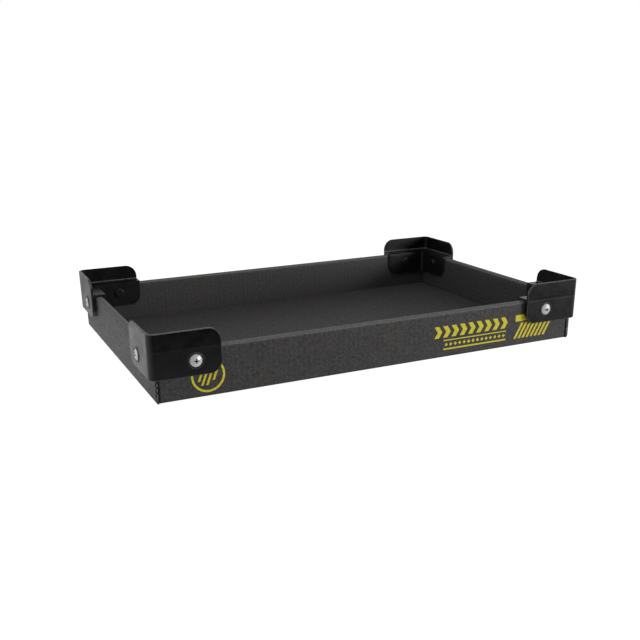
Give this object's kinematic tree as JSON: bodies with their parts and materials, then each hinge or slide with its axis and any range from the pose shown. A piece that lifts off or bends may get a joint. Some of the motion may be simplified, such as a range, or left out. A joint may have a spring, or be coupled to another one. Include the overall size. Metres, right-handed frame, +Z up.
{
  "type": "stackable corrugated handling tray",
  "caption": "Shallow open tray folded from black corrugated board, with rolled double walls and moulded stacking corners screwed over its corners.",
  "frame": {"origin": "centre of the tray's underside, on the surface it stands on", "axes": "+X along the long walls, towards the right-hand short wall; +Y from the front wall, which carries the print, to the back wall; +Z up"},
  "size_m": [0.59, 0.384, 0.0815],
  "materials": {
    "board": "black conductive corrugated board, matt, with faint flute lines",
    "moulding": "black injection-moulded plastic with a satin sheen",
    "screw": "bright zinc-plated steel"
  },
  "bodies": {
    "root": {"tray": "board", "corner_front_left": "moulding", "corner_front_right": "moulding", "corner_back_left": "moulding", "corner_back_right": "moulding", "corner_screws": "screw"}
  },
  "joints": []
}
